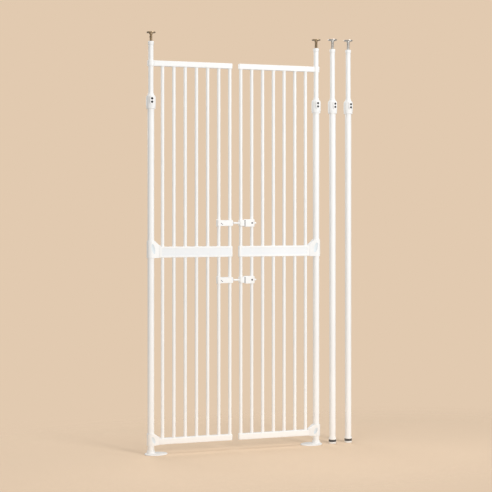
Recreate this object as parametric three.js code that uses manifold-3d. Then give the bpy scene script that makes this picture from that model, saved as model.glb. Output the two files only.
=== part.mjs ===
// Double pet gate on tension posts: two posts held between floor and ceiling carry a pair of barred
// doors that meet in the middle of the doorway, with two spare posts of the same kind beside them.
// Millimetres, +Z up, front of the gate towards -Y.
// The origin is on the floor, under the centre of the whole set.
import * as THREE from "three";
import Module from "manifold-3d";
import { mergeVertices } from "three/addons/utils/BufferGeometryUtils.js";

const wasm = await Module();
wasm.setup();

// ---- Driving dimensions ----

// Fits
const seatGap = 0.3; // between pieces that are fixed to each other
const runningGap = 0.3; // round a post, bar or bolt that turns or slides
const telescopeGap = 2.3; // between the upper tube and the lower tube round it

// Doors
const doorHeight = 1815;
const floorGap = 46; // from the floor to the underside of a door
const barDiameter = 16;
const barWall = 0.8;
const barPitch = 55.5;
const barCount = 7;
const postToBar = 56.5; // from a post's axis to its nearest bar's axis
const railPastBar = 10.5; // from the last bar's axis to the rail's free end
const railSide = 3; // how far a rail stands out in front of the bars
const railWall = 1.2;
const railEndRound = 2;
const topRailHeight = 26;
const middleRailHeight = 52;
const middleRailRise = 2; // above the middle of the door's height
const bottomRailHeight = 30;
const railCorner = 2.5;

// Posts
const lowerTubeDiameter = 31;
const lowerTubeWall = 1.2;
const upperTubeWall = 1;
const clampBelowDoorTop = 189; // from a door's top down to the top of the lower tube
const capAboveDoorTop = 75; // from a door's top up to the underside of the tube cap
const tubeOverlap = 372; // length of the upper tube that stands inside the lower tube
const capHeight = 16;
const capLip = 2;
const plugDepth = 15;
const screwDiameter = 14;
const screwShown = 33; // between a gate post's tube cap and the underside of its pad's hub
const screwHidden = 76; // below the top of the tube cap
const pivotDiameter = 8;
const pivotLength = 5;
const padDiameter = 44;
const padThickness = 5;
const hubDiameter = 22;
const hubHeight = 6;

// Clamp sleeve where the two tubes meet
const sleeveHeight = 75;
const sleeveRise = 35; // above the top of the lower tube
const sleeveWall = 7.2; // round the lower tube, at the sleeve's widest
const sleeveBossDepth = 3.5; // how far the screw boss stands out in front
const sleeveBossWidth = 20;
const sleeveBossHeight = 40;
const clampScrewDiameter = 8;
const clampScrewOffset = 8; // above and below the top of the lower tube
const clampScrewProud = 1;
const hexKeyWidth = 4;
const hexKeyDepth = 4;

// Feet
const plateLength = 110;
const plateWidth = 80;
const plateThickness = 6;
const plateEdge = 1.5;
const plateOffset = 25; // from the post's axis to the plate's centre, into the doorway
const collarHeight = 14;
const collarTopWall = 2.6;
const collarFootWall = 7.5;
const tipHeight = 29;
const tipBase = 9;
const tipWall = 2.2;
const tipBandHeight = 11;
const tipBandProud = 0.5;

// Hinge brackets
const hingeRingWall = 3.7;
const hingeDrop = 1.5; // ring below the rail's underside
const middleHingeRise = 29; // ring above the middle rail's top
const bottomHingeRise = 24; // ring above the bottom rail's top
const tongueLength = 8;
const lipReach = 7.7; // gusset's reach over the top of its rail
const dimpleLength = 26;
const dimpleWidth = 12;
const dimpleDepth = 2.5;
const topRingWall = 4.2;
const topRingHeight = 28;

// Latches
const latchOffset = 137; // from the middle rail's centre up or down to a latch
const boltDiameter = 10;
const boltWall = 2.5; // latch body in front of the bolt
const boltToBar = 1.6; // latch body between the bolt and a bar
const socketGap = 0.6; // round the bolt in the keeper's square socket
const bodyPastBar = 9.75; // from a bar's axis to the latch body's end
const bodyBehindBar = 1.7;
const bodyEdge = 1;
const bodyCorner = 4;
const keeperHeight = 28;
const keeperLugHeight = 37;
const keeperLugWidth = 13;
const socketDepth = 38;
const housingHeight = 29;
const housingLugHeight = 36;
const housingFirstLength = 22;
const housingChamfer = 8; // on the front corner beside the bolt's tail
const slitWidth = 2.4;
const slitDepth = 18;
const boltTail = 18; // past the outer bar's axis
const boltStandoff = 2.5; // between the bolt's tip and the keeper's mouth
const boltTipChamfer = 1.5;

// Spare posts
const firstSpareOffset = 86.75; // from the right post's axis
const sparePitch = 84;
const spareSleeveTurn = 10; // degrees
const spareJackRise = 4; // how much further out a spare post's jack stands than a gate post's

// ---- Values that follow ----

const lowerRadius = lowerTubeDiameter / 2;
const upperRadius = lowerRadius - lowerTubeWall - telescopeGap;
const upperBore = upperRadius - upperTubeWall;
const barRadius = barDiameter / 2;
const railDepth = barDiameter + 2 * railSide;
const postX = barPitch / 2 + (barCount - 1) * barPitch + postToBar;
const railEnd = postToBar + (barCount - 1) * barPitch + railPastBar;
const railStart = postToBar - barRadius - runningGap - tongueLength - seatGap * 2;
const doorTop = floorGap + doorHeight;
const bottomRailZ = floorGap + bottomRailHeight / 2;
const topRailZ = doorTop - topRailHeight / 2;
const middleRailZ = floorGap + doorHeight / 2 + middleRailRise;
const lowerTubeTop = doorTop - clampBelowDoorTop;
const capBottom = doorTop + capAboveDoorTop;
const capTop = capBottom + capHeight;
const hubBottom = capTop + screwShown;
const padBottom = hubBottom + hubHeight;
const padTop = padBottom + padThickness;
const hingeRadius = lowerRadius + runningGap + hingeRingWall;
const sleeveRadius = lowerRadius + seatGap + sleeveWall;
const boltRadius = boltDiameter / 2;
const boltY = -(barRadius + runningGap + boltToBar + runningGap + boltRadius);
const bodyFront = boltY - boltRadius - runningGap - boltWall;
const bodyBack = barRadius + runningGap + bodyBehindBar;
const roundSides = 16;
const barSides = 12;
const screwSides = 10;

// ---- Shared shape helpers ----

function solid(geometry) {
  const bare = geometry.index ? geometry.toNonIndexed() : geometry.clone();
  bare.deleteAttribute("normal");
  bare.deleteAttribute("uv");
  const merged = mergeVertices(bare, 1e-4);
  return new wasm.Manifold(
    new wasm.Mesh({
      numProp: 3,
      vertProperties: new Float32Array(merged.attributes.position.array),
      triVerts: new Uint32Array(merged.index.array),
    }),
  );
}

function geometryOf(body) {
  const mesh = body.getMesh();
  const geometry = new THREE.BufferGeometry();
  geometry.setAttribute("position", new THREE.BufferAttribute(mesh.vertProperties, 3));
  geometry.setIndex(new THREE.BufferAttribute(mesh.triVerts, 1));
  return geometry;
}

// A body turned about +Z from (radius, z) points, anticlockwise as seen with the radius to the right.
function turned(points, sides = roundSides) {
  const profile = points.map(([radius, z]) => new THREE.Vector2(radius, z));
  return new THREE.LatheGeometry(profile, sides).rotateX(Math.PI / 2);
}

function tube(outer, inner, bottom, top, sides = roundSides) {
  return turned([[inner, bottom], [outer, bottom], [outer, top], [inner, top], [inner, bottom]], sides);
}

function rod(radius, bottom, top, sides = roundSides) {
  return turned([[0, bottom], [radius, bottom], [radius, top], [0, top]], sides);
}

// The corner radius of a many-sided hole whose flats clear a round piece of the given radius.
function around(radius, sides = roundSides) {
  return radius / Math.cos(Math.PI / sides);
}

function hole(radius, bottom, top, sides = roundSides) {
  return solid(rod(around(radius, sides), bottom, top, sides));
}

// A block whose outline is drawn in X and Z and whose thickness runs from y = front to y = back.
function sideBlock(outline, front, back, edge = 0) {
  const options = {
    depth: back - front - 2 * edge,
    bevelEnabled: edge > 0,
    bevelThickness: edge,
    bevelSize: edge,
    bevelOffset: -edge,
    bevelSegments: 1,
    curveSegments: 3,
  };
  return new THREE.ExtrudeGeometry(outline, options).rotateX(Math.PI / 2).translate(0, back - edge, 0);
}

function roundedOutline(left, bottom, right, top, corner) {
  const outline = new THREE.Shape();
  outline.moveTo(left + corner, bottom);
  outline.lineTo(right - corner, bottom);
  outline.absarc(right - corner, bottom + corner, corner, -Math.PI / 2, 0);
  outline.lineTo(right, top - corner);
  outline.absarc(right - corner, top - corner, corner, 0, Math.PI / 2);
  outline.lineTo(left + corner, top);
  outline.absarc(left + corner, top - corner, corner, Math.PI / 2, Math.PI);
  outline.lineTo(left, bottom + corner);
  outline.absarc(left + corner, bottom + corner, corner, Math.PI, 1.5 * Math.PI);
  return outline;
}

function piece(name, geometry, material, x = 0, z = 0) {
  const mesh = new THREE.Mesh(geometry, material.clone());
  mesh.name = name;
  mesh.position.set(x, 0, z);
  return mesh;
}

// ---- Finishes ----

const paintedSteel = new THREE.MeshStandardMaterial({ color: 0xf4f3ef, roughness: 0.38, metalness: 0.0 });
const whitePlastic = new THREE.MeshStandardMaterial({ color: 0xf1f0ec, roughness: 0.5, metalness: 0.0 });
const zincSteel = new THREE.MeshStandardMaterial({ color: 0xc9bdb0, roughness: 0.22, metalness: 1.0 });
const blackSteel = new THREE.MeshStandardMaterial({ color: 0x2a2a2a, roughness: 0.45, metalness: 0.6 });
const footRubber = new THREE.MeshStandardMaterial({ color: 0x3a3a3a, roughness: 0.8, metalness: 0.0 });

// ---- Feet ----

// Oval floor plate with a flared collar that the post stands in.
function footPlate() {
  const oval = new THREE.Shape();
  oval.absellipse(plateOffset, 0, plateLength / 2, plateWidth / 2, 0, 2 * Math.PI);
  const plate = new THREE.ExtrudeGeometry(oval, {
    depth: plateThickness - 2 * plateEdge,
    bevelThickness: plateEdge,
    bevelSize: plateEdge,
    bevelOffset: -plateEdge,
    bevelSegments: 1,
    curveSegments: 12,
  }).translate(0, 0, plateEdge);
  const collarTop = plateThickness + collarHeight;
  const socket = lowerRadius + seatGap;
  const collar = turned([
    [0, plateThickness / 2],
    [socket + collarFootWall, plateThickness / 2],
    [socket + collarFootWall, plateThickness],
    [socket + collarTopWall + 1.5, plateThickness + collarHeight * 0.4],
    [socket + collarTopWall, collarTop],
    [0, collarTop],
  ]);
  return geometryOf(solid(plate).add(solid(collar)).subtract(hole(socket, plateThickness, collarTop + 1)));
}

// Push-on tip of a spare post: base, soft band and collar round the tube.
function footTip() {
  const socket = around(lowerRadius + seatGap);
  const outer = socket + tipWall;
  return turned([
    [0, 0],
    [outer, 0],
    [outer, tipBase],
    [outer + tipBandProud, tipBase],
    [outer + tipBandProud, tipBase + tipBandHeight],
    [outer, tipBase + tipBandHeight],
    [outer, tipHeight],
    [socket, tipHeight],
    [socket, tipBase],
    [0, tipBase],
  ]);
}

// ---- Clamp sleeve and its two grub screws ----

// Egg-shaped sleeve: wide round the lower tube, closing in on the upper tube above it.
function clampSleeve() {
  const topWall = 3;
  const bottom = lowerTubeTop + sleeveRise - sleeveHeight;
  const height = (share) => bottom + sleeveHeight * share;
  const egg = turned([
    [0, bottom],
    [sleeveRadius - 5, bottom],
    [sleeveRadius - 1.6, height(0.12)],
    [sleeveRadius, height(0.35)],
    [sleeveRadius - 1.6, height(0.62)],
    [sleeveRadius - 4.8, height(0.86)],
    [upperRadius + topWall, height(1)],
    [0, height(1)],
  ]);
  const bossFront = -(sleeveRadius + sleeveBossDepth);
  const halfWidth = sleeveBossWidth / 2;
  const halfHeight = sleeveBossHeight / 2;
  const outline = roundedOutline(-halfWidth, -halfHeight, halfWidth, halfHeight, halfWidth - 1);
  const boss = sideBlock(outline, bossFront, -upperRadius, bodyEdge).translate(0, 0, lowerTubeTop);
  let body = solid(egg).add(solid(boss));
  body = body.subtract(hole(lowerRadius + seatGap, bottom - 1, lowerTubeTop + seatGap));
  body = body.subtract(hole(upperRadius + runningGap, bottom - 1, height(1) + 1));
  for (const offset of [-clampScrewOffset, clampScrewOffset]) {
    const screwHole = hole(clampScrewDiameter / 2 + seatGap, 0, sleeveRadius * 2, screwSides);
    body = body.subtract(screwHole.rotate([90, 0, 0]).translate([0, 0, lowerTubeTop + offset]));
  }
  return geometryOf(body);
}

// Grub screw with a hexagonal key hole; its tip rests against a tube of the given radius.
function clampScrew(tubeRadius) {
  const radius = clampScrewDiameter / 2;
  const head = sleeveRadius + sleeveBossDepth + clampScrewProud;
  const tip = tubeRadius + seatGap;
  const shank = turned([[0, tip], [radius - 1.5, tip], [radius, tip + 1.5], [radius, head - 0.6],
    [radius - 0.6, head], [0, head]], screwSides);
  const keyHole = rod(hexKeyWidth / Math.sqrt(3), head - hexKeyDepth, head + 1, 6);
  return geometryOf(solid(shank).subtract(solid(keyHole))).rotateX(Math.PI / 2);
}

// ---- Top end of a post ----

// Plug with a lip that carries the jack screw.
function tubeCap() {
  const bore = around(screwDiameter / 2 + runningGap);
  const lip = upperRadius + capLip;
  return turned([
    [bore, capBottom - plugDepth],
    [upperBore - seatGap, capBottom - plugDepth],
    [upperBore - seatGap, capBottom + seatGap],
    [lip, capBottom + seatGap],
    [lip, capTop - 1.5],
    [lip - 1.5, capTop],
    [bore, capTop],
    [bore, capBottom - plugDepth],
  ]);
}

function screwProfile() {
  const radius = screwDiameter / 2;
  const end = capTop - screwHidden;
  return [[0, end], [radius - 1.5, end], [radius, end + 1.5]];
}

// Jack screw with a turned-down end that pivots in the ceiling pad's hub.
function jackScrew() {
  const radius = screwDiameter / 2;
  const pivot = pivotDiameter / 2;
  const shoulder = hubBottom - runningGap;
  return turned([...screwProfile(), [radius, shoulder], [pivot, shoulder],
    [pivot, hubBottom + pivotLength], [0, hubBottom + pivotLength]], barSides);
}

function ceilingPad() {
  const hub = hubDiameter / 2;
  const pad = padDiameter / 2;
  const bore = around(pivotDiameter / 2 + runningGap);
  const boreTop = hubBottom + pivotLength + runningGap;
  return turned([[0, boreTop], [bore, boreTop], [bore, hubBottom], [hub - 2, hubBottom], [hub, padBottom],
    [pad, padBottom], [pad, padTop], [0, padTop]]);
}

// Jack of a spare post: screw and pad in one piece.
function spareJack() {
  const hub = hubDiameter / 2;
  const pad = padDiameter / 2;
  return turned([...screwProfile(), [screwDiameter / 2, hubBottom], [hub - 2, hubBottom], [hub, padBottom],
    [pad, padBottom], [pad, padTop], [0, padTop]]);
}

function upperTube() {
  return tube(upperRadius, upperBore, lowerTubeTop - tubeOverlap, capBottom, roundSides);
}

// ---- Posts ----

// A gate post stands on an oval plate that points into the doorway.
function gatePost(side) {
  const post = new THREE.Group();
  const inward = side === "left" ? 0 : Math.PI;
  const plate = piece(side + "_foot_plate", footPlate(), paintedSteel);
  plate.rotation.z = inward;
  post.add(plate);
  const lower = tube(lowerRadius, lowerRadius - lowerTubeWall, plateThickness + seatGap, lowerTubeTop);
  post.add(piece(side + "_lower_tube", lower, paintedSteel));
  post.add(piece(side + "_clamp_sleeve", clampSleeve(), whitePlastic));
  post.add(piece(side + "_clamp_screw_lower", clampScrew(lowerRadius), blackSteel, 0,
    lowerTubeTop - clampScrewOffset));
  post.add(piece(side + "_clamp_screw_upper", clampScrew(upperRadius), blackSteel, 0,
    lowerTubeTop + clampScrewOffset));
  post.add(piece(side + "_upper_tube", upperTube(), paintedSteel));
  post.add(piece(side + "_tube_cap", tubeCap(), whitePlastic));
  post.add(piece(side + "_jack_screw", jackScrew(), zincSteel));
  post.add(piece(side + "_ceiling_pad", ceilingPad(), zincSteel));
  post.position.x = side === "left" ? -postX : postX;
  return post;
}

// A spare post stands on a push-on tip; its sleeve is turned a little out of line.
function sparePost(number) {
  const post = new THREE.Group();
  const label = "spare_" + number;
  post.add(piece(label + "_foot_tip", footTip(), footRubber));
  const lower = tube(lowerRadius, lowerRadius - lowerTubeWall, tipBase + seatGap, lowerTubeTop);
  post.add(piece(label + "_lower_tube", lower, paintedSteel));
  const sleeve = piece(label + "_clamp_sleeve", clampSleeve(), whitePlastic);
  sleeve.rotation.z = THREE.MathUtils.degToRad(spareSleeveTurn);
  post.add(sleeve);
  post.add(piece(label + "_upper_tube", upperTube(), paintedSteel));
  post.add(piece(label + "_tube_cap", tubeCap(), whitePlastic));
  post.add(piece(label + "_jack", spareJack(), zincSteel, 0, spareJackRise));
  post.position.x = postX + firstSpareOffset + (number - 1) * sparePitch;
  return post;
}

// ---- Doors, drawn from the post's axis (x = 0) to the free end, at z = 0 on the rail's centre ----

function barAxes() {
  return Array.from({ length: barCount }, (_, index) => postToBar + index * barPitch);
}

// Hollow rail with a closed, rounded free end; holes through its wall from z = low to z = high.
function rail(height, start, low, high) {
  const section = (wall) => {
    const halfHeight = height / 2 - wall;
    const halfDepth = railDepth / 2 - wall;
    return roundedOutline(-halfHeight, -halfDepth, halfHeight, halfDepth, railCorner - wall);
  };
  const outer = new THREE.ExtrudeGeometry(section(0), {
    depth: railEnd - start,
    bevelThickness: railEndRound,
    bevelSize: railEndRound,
    bevelOffset: -railEndRound,
    bevelSegments: 2,
    curveSegments: 1,
  }).rotateY(Math.PI / 2).translate(start - railEndRound, 0, 0);
  const inner = new THREE.ExtrudeGeometry(section(railWall), {
    depth: railEnd - railWall * 2 - start + railEndRound,
    bevelEnabled: false,
    curveSegments: 1,
  }).rotateY(Math.PI / 2).translate(start - railEndRound, 0, 0);
  const trim = new THREE.BoxGeometry(2 * railEndRound, 2 * railDepth, 2 * height);
  let body = solid(outer).subtract(solid(inner));
  body = body.subtract(solid(trim.translate(start - railEndRound, 0, 0)));
  for (const x of barAxes()) {
    body = body.subtract(hole(barRadius + seatGap, low, high, barSides).translate([x, 0, 0]));
  }
  return body;
}

// The top rail ends in a ring round the upper tube, so it turns with the door.
function topRail() {
  const ring = upperRadius + runningGap + topRingWall;
  const half = topRingHeight / 2;
  const hub = turned([[0, -half], [ring - 1, -half], [ring, 1 - half], [ring, half - 1], [ring - 1, half],
    [0, half]]);
  const barEnd = topRailHeight / 2 - railWall - seatGap / 2;
  const body = rail(topRailHeight, ring - topRingWall / 2, -topRailHeight, barEnd).add(solid(hub));
  return geometryOf(body.subtract(hole(upperRadius + runningGap, -topRailHeight, topRailHeight)));
}

function middleRail() {
  return geometryOf(rail(middleRailHeight, railStart, -middleRailHeight, middleRailHeight));
}

function bottomRail() {
  const barEnd = railWall + seatGap / 2 - bottomRailHeight / 2;
  return geometryOf(rail(bottomRailHeight, railStart, barEnd, bottomRailHeight));
}

// Moulded bracket: ring round the lower tube, gusset above the rail and a tongue inside its end.
function hingeBracket(railHeight, rise, dimpleX, dimpleZ) {
  const half = railHeight / 2;
  const webEnd = railStart - seatGap;
  const lipEnd = railStart + lipReach;
  const ringTop = half + rise;
  const side = new THREE.Shape();
  side.moveTo(-hingeRadius, -half - hingeDrop);
  side.lineTo(hingeRadius, -half - hingeDrop);
  side.lineTo(webEnd, -half);
  side.lineTo(webEnd, half + seatGap);
  side.lineTo(lipEnd, half + seatGap);
  side.quadraticCurveTo(lipEnd - 9, half + rise * 0.72, hingeRadius - 5, ringTop);
  side.lineTo(-hingeRadius, ringTop);
  const halfDepth = railDepth / 2;
  const reach = Math.acos((hingeRadius - halfDepth) / webEnd);
  const plan = new THREE.Shape();
  plan.moveTo(lipEnd, -halfDepth);
  plan.lineTo(lipEnd, halfDepth);
  plan.lineTo(webEnd, halfDepth);
  plan.absarc(0, 0, hingeRadius, reach, 2 * Math.PI - reach);
  plan.lineTo(webEnd, -halfDepth);
  const height = ringTop + half + hingeDrop;
  const planBlock = new THREE.ExtrudeGeometry(plan, { depth: height, bevelEnabled: false, curveSegments: 10 });
  planBlock.translate(0, 0, -half - hingeDrop);
  let body = solid(sideBlock(side, -hingeRadius - 1, hingeRadius + 1)).intersect(solid(planBlock));
  const inset = railWall + seatGap;
  const tongue = new THREE.BoxGeometry(tongueLength + 6, railDepth - 2 * railCorner, railHeight - 2 * inset);
  body = body.add(solid(tongue.translate(webEnd + (tongueLength - 6) / 2, 0, 0)));
  body = body.subtract(hole(lowerRadius + runningGap, -height, height));
  const dimple = new THREE.Shape();
  dimple.absellipse(0, 0, dimpleLength / 2, dimpleWidth / 2, 0, 2 * Math.PI);
  const surface = THREE.MathUtils.lerp(hingeRadius, halfDepth, dimpleX / webEnd);
  for (const facing of [-1, 1]) {
    const floor = facing * (surface - dimpleDepth);
    const open = facing * (hingeRadius + 1);
    const cut = sideBlock(dimple, Math.min(floor, open), Math.max(floor, open));
    body = body.subtract(solid(cut.rotateY(Math.PI / 5).translate(dimpleX, 0, dimpleZ)));
  }
  return geometryOf(body);
}

function bar(low, high) {
  return tube(barRadius, barRadius - barWall, low, high, barSides);
}

function door(side) {
  const leaf = new THREE.Group();
  leaf.position.x = side === "left" ? -postX : postX;
  leaf.rotation.z = side === "left" ? 0 : Math.PI;
  const label = side + "_door_";
  leaf.add(piece(label + "top_rail", topRail(), paintedSteel, 0, topRailZ));
  leaf.add(piece(label + "middle_rail", middleRail(), paintedSteel, 0, middleRailZ));
  leaf.add(piece(label + "bottom_rail", bottomRail(), paintedSteel, 0, bottomRailZ));
  const middle = hingeBracket(middleRailHeight, middleHingeRise, 13, middleRailHeight * 0.2);
  leaf.add(piece(label + "middle_hinge", middle, whitePlastic, 0, middleRailZ));
  const bottom = hingeBracket(bottomRailHeight, bottomHingeRise, 22, 2);
  leaf.add(piece(label + "bottom_hinge", bottom, whitePlastic, 0, bottomRailZ));
  const low = floorGap + railWall + seatGap;
  const high = doorTop - railWall - seatGap;
  barAxes().forEach((x, index) => {
    leaf.add(piece(label + "bar_" + (index + 1), bar(low, high), paintedSteel, x));
  });
  return leaf;
}

// ---- Latches, drawn at z = 0 on the bolt's axis, x = 0 in the middle of the doorway ----

const innerBar = barPitch / 2;
const outerBar = innerBar + barPitch;
const keeperMouth = -innerBar + bodyPastBar;

// A latch body that steps up to a taller lug between lugLeft and lugRight.
function latchBody(left, right, height, lugLeft, lugRight, lugHeight) {
  const outline = roundedOutline(left, -height / 2, right, height / 2, bodyCorner);
  const lugOutline = roundedOutline(lugLeft, -lugHeight / 2, lugRight, lugHeight / 2, bodyCorner);
  const low = solid(sideBlock(outline, bodyFront, bodyBack, bodyEdge));
  return low.add(solid(sideBlock(lugOutline, bodyFront, bodyBack, bodyEdge)));
}

function barHole(x) {
  return hole(barRadius + seatGap, -keeperLugHeight, keeperLugHeight, barSides).translate([x, 0, 0]);
}

function boltHole(left, right) {
  return hole(boltRadius + runningGap, left, right, barSides).rotate([0, 90, 0]).translate([0, boltY, 0]);
}

// Keeper on the left door's last two bars: a square socket takes the bolt.
function keeper() {
  const left = -outerBar - bodyPastBar;
  const body = latchBody(left, keeperMouth, keeperHeight, left, left + keeperLugWidth, keeperLugHeight);
  const width = boltDiameter + 2 * socketGap;
  const socket = new THREE.BoxGeometry(2 * socketDepth, width, width).translate(keeperMouth, boltY, 0);
  return geometryOf(body.subtract(barHole(-innerBar)).subtract(barHole(-outerBar)).subtract(solid(socket)));
}

// Housing on the right door's first two bars: the bolt slides right through it.
function housing() {
  const left = innerBar - bodyPastBar;
  const right = outerBar + bodyPastBar;
  const slit = left + housingFirstLength;
  const body = latchBody(left, right, housingHeight, slit + slitWidth, right, housingLugHeight);
  const slot = new THREE.BoxGeometry(slitWidth, slitDepth, housingLugHeight + 2);
  slot.translate(slit + slitWidth / 2, bodyFront - 1 + slitDepth / 2, 0);
  const chamferSide = housingChamfer * Math.SQRT2;
  const chamfer = new THREE.BoxGeometry(chamferSide, chamferSide, housingLugHeight + 2);
  chamfer.rotateZ(Math.PI / 4).translate(right, bodyFront, 0);
  return geometryOf(body.subtract(barHole(innerBar)).subtract(barHole(outerBar))
    .subtract(boltHole(left - 1, right + 1)).subtract(solid(slot)).subtract(solid(chamfer)));
}

// Bolt with a chamfered tip and a grooved tail to pull it back by.
function bolt() {
  const tip = keeperMouth + boltStandoff;
  const tail = outerBar + boltTail;
  const profile = [[0, tip], [boltRadius - boltTipChamfer, tip], [boltRadius, tip + boltTipChamfer],
    [boltRadius, tail - 8], [boltRadius - 1, tail - 7], [boltRadius - 1, tail - 6], [boltRadius, tail - 5],
    [boltRadius, tail - 2], [boltRadius - 2, tail], [0, tail]];
  return turned(profile, barSides).rotateY(Math.PI / 2).translate(0, boltY, 0);
}

// ---- The whole set ----

const gate = new THREE.Group();
for (const side of ["left", "right"]) {
  gate.add(gatePost(side));
  gate.add(door(side));
}
for (const number of [1, 2]) {
  gate.add(sparePost(number));
}
for (const [place, offset] of [["upper", latchOffset], ["lower", -latchOffset]]) {
  const height = middleRailZ + offset;
  gate.add(piece(place + "_latch_keeper", keeper(), whitePlastic, 0, height));
  gate.add(piece(place + "_latch_housing", housing(), whitePlastic, 0, height));
  gate.add(piece(place + "_latch_bolt", bolt(), paintedSteel, 0, height));
}
gate.updateMatrixWorld(true);
const extent = new THREE.Box3().setFromObject(gate, true);
gate.position.x = -(extent.min.x + extent.max.x) / 2;
gate.position.y = -(extent.min.y + extent.max.y) / 2;

export default gate;
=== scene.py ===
# Double pet gate with two spare tension posts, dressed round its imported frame.
# Metres throughout; floor at z = 0, front of the gate towards -Y, posts upright along Z.
import math
import bpy
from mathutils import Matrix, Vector


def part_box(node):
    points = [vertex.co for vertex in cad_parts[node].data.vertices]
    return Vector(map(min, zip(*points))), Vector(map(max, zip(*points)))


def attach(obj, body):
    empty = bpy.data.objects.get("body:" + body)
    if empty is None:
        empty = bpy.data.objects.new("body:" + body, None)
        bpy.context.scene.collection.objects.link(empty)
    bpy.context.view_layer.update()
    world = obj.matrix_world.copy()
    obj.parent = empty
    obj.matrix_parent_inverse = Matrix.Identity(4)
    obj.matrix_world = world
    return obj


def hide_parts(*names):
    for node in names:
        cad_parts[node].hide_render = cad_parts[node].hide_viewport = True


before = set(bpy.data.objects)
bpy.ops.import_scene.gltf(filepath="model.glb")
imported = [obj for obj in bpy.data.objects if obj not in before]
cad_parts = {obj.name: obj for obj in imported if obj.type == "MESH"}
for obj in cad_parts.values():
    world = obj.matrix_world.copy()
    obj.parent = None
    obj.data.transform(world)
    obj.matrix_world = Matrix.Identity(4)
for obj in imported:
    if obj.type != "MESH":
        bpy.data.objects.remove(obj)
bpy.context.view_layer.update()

# ---- Studio --------------------------------------------------------------------------------
# Pale sand floor that fades out into a backdrop of its own colour, lit as a product is in a
# studio: a big soft key from the front right, a weaker fill from the left, a light from above
# and one from behind that catches the edges of the tubes.


def middle_of(node):
    """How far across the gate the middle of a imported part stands."""
    low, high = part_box(node)
    return (low.x + high.x) / 2


def shader_node(tree, kind, values=None, operation=None):
    """Adds a shader node, and sets the inputs that are named or numbered."""
    made = tree.nodes.new("ShaderNode" + kind)
    if operation:
        made.operation = operation
    for entry, value in (values or {}).items():
        made.inputs[entry].default_value = value
    return made


left_x = middle_of("left_lower_tube")
right_x = middle_of("right_lower_tube")
doorway_x = (left_x + right_x) / 2

sand = (0.760, 0.591, 0.434, 1.0)
view_turn = math.radians(17.8)
view_distance = 5.79
view_shift = (0.049, -0.016)
camera_height = 1.15
camera_data = bpy.data.cameras.new("studio_camera")
camera_data.lens = 87.8
camera_data.sensor_width = 36
camera_data.shift_y = -0.071
camera = bpy.data.objects.new("studio_camera", camera_data)
bpy.context.collection.objects.link(camera)
camera.location = (
    doorway_x - view_distance * math.sin(view_turn) + view_shift[0],
    -view_distance * math.cos(view_turn) + view_shift[1],
    camera_height,
)
camera.rotation_euler = (math.radians(90), 0, -view_turn)
bpy.context.scene.camera = camera
bpy.context.scene.view_settings.view_transform = "Standard"

bpy.ops.object.select_all(action="DESELECT")
floor_radius = 9
bpy.ops.mesh.primitive_circle_add(vertices=96, radius=floor_radius, fill_type="NGON")
floor = bpy.context.object
floor.name = "studio_floor"
floor_paint = bpy.data.materials.new("sand_floor")
floor_paint.use_nodes = True
paint = floor_paint.node_tree
shader = paint.nodes["Principled BSDF"]
shader.inputs["Roughness"].default_value = 0.9
shader.inputs["Specular IOR Level"].default_value = 0.1
shader.inputs["Base Color"].default_value = (0.87, 0.677, 0.497, 1.0)
fade_start = 0.7
fade_end = 1.9
fade_stretch = (0.8, 1.6, 1)
where = shader_node(paint, "TexCoord")
oval = shader_node(paint, "VectorMath", {1: fade_stretch}, "MULTIPLY")
spread = shader_node(paint, "VectorMath", operation="LENGTH")
fade = shader_node(
    paint, "MapRange", {"From Min": fade_start, "From Max": fade_end, "To Min": 1, "To Max": 0}
)
fade.interpolation_type = "SMOOTHSTEP"
paint.links.new(where.outputs["Object"], oval.inputs[0])
paint.links.new(oval.outputs["Vector"], spread.inputs[0])
paint.links.new(spread.outputs["Value"], fade.inputs["Value"])
paint.links.new(fade.outputs["Result"], shader.inputs["Alpha"])
floor.data.materials.append(floor_paint)

world = bpy.data.worlds.new("studio_backdrop")
bpy.context.scene.world = world
world.use_nodes = True
air = world.node_tree
room_light = air.nodes["Background"]
room_light.inputs["Color"].default_value = (1.0, 0.985, 0.96, 1)
room_light.inputs["Strength"].default_value = 0.4
backdrop = shader_node(air, "Background", {"Color": sand, "Strength": 1.0})
ray = shader_node(air, "LightPath")
seen = shader_node(air, "MixShader")
air.links.new(ray.outputs["Is Camera Ray"], seen.inputs["Fac"])
air.links.new(room_light.outputs["Background"], seen.inputs[1])
air.links.new(backdrop.outputs["Background"], seen.inputs[2])
air.links.new(seen.outputs["Shader"], air.nodes["World Output"].inputs["Surface"])


def soft_light(name, place, aim, size, power):
    """A rectangular lamp of the given width, height and watts, turned to face the aim."""
    data = bpy.data.lights.new(name, "AREA")
    data.shape = "RECTANGLE"
    data.size = size[0]
    data.size_y = size[1]
    data.energy = power
    lamp = bpy.data.objects.new(name, data)
    bpy.context.collection.objects.link(lamp)
    lamp.location = place
    lamp.rotation_euler = (Vector(aim) - Vector(place)).to_track_quat("-Z", "Y").to_euler()


aim_height = 0.9
gate_middle = (doorway_x, 0, 1.0)
soft_light("key_light", (1.9, -3.9, 1.75), (doorway_x, 0, aim_height), (1.3, 2.6), 112)
soft_light("fill_light", (-3.4, -3.2, 1.3), (left_x, 0, aim_height), (2.0, 2.4), 32)
soft_light("top_light", (0, -0.4, 4.2), gate_middle, (3.0, 2.0), 34)
soft_light("back_light", (-1.2, 3.4, 2.4), gate_middle, (2.4, 2.0), 48)

# ---- Lower tubes ---------------------------------------------------------------------------
# Thin-walled steel tube, 31 mm across, one for each of the four posts. Powder coated a warm
# white after cutting; a gate post's tube stands in its foot plate, a spare one in its tip.

weld_reach = 0.000005


def picked(piece):
    """Makes the piece the only one selected, and the active one."""
    bpy.ops.object.select_all(action="DESELECT")
    piece.select_set(True)
    bpy.context.view_layer.objects.active = piece


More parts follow.
